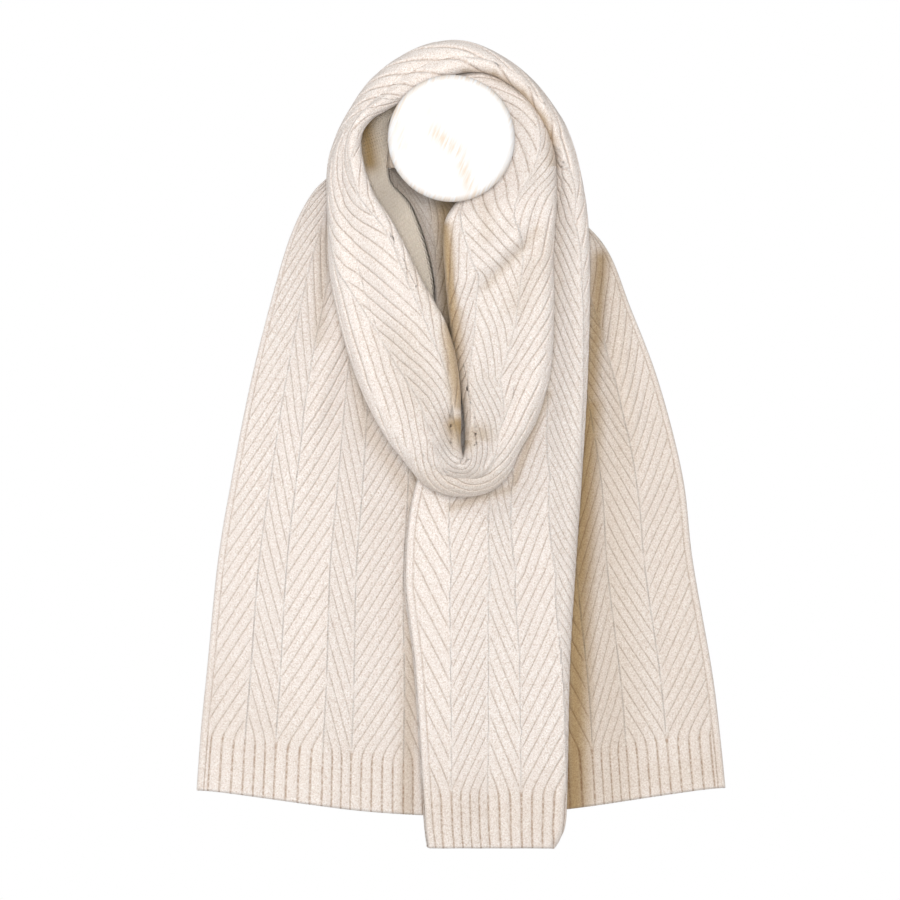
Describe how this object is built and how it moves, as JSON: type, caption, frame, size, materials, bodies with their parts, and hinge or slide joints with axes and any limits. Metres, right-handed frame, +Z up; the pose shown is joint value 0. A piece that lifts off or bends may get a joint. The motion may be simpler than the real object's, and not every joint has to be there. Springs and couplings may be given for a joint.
{
  "type": "knit scarf on a wall knob",
  "caption": "Long chevron rib knit scarf wound once over the stem of a round wall knob, its two tails hanging one before the other with ribbed hems.",
  "frame": {"origin": "centre of the knob's flat wall face", "axes": "+Y out of the back, into the wall; +Z up; +X to the right as seen from the room, which is at -Y"},
  "size_m": [0.3965, 0.0813, 0.6063],
  "materials": {
    "knit": "soft brushed wool knit, pale oatmeal with cream and tan flecks, matt",
    "painted_wood": "white chalky paint on turned wood, rubbed back to tan in places"
  },
  "bodies": {
    "root": {"wall_knob": "painted_wood", "front_hem": "knit", "front_tail": "knit", "over_band": "knit", "loop_left": "knit", "loop_foot": "knit", "loop_right": "knit", "inner_band": "knit", "back_hem": "knit", "back_tail": "knit"}
  },
  "joints": []
}
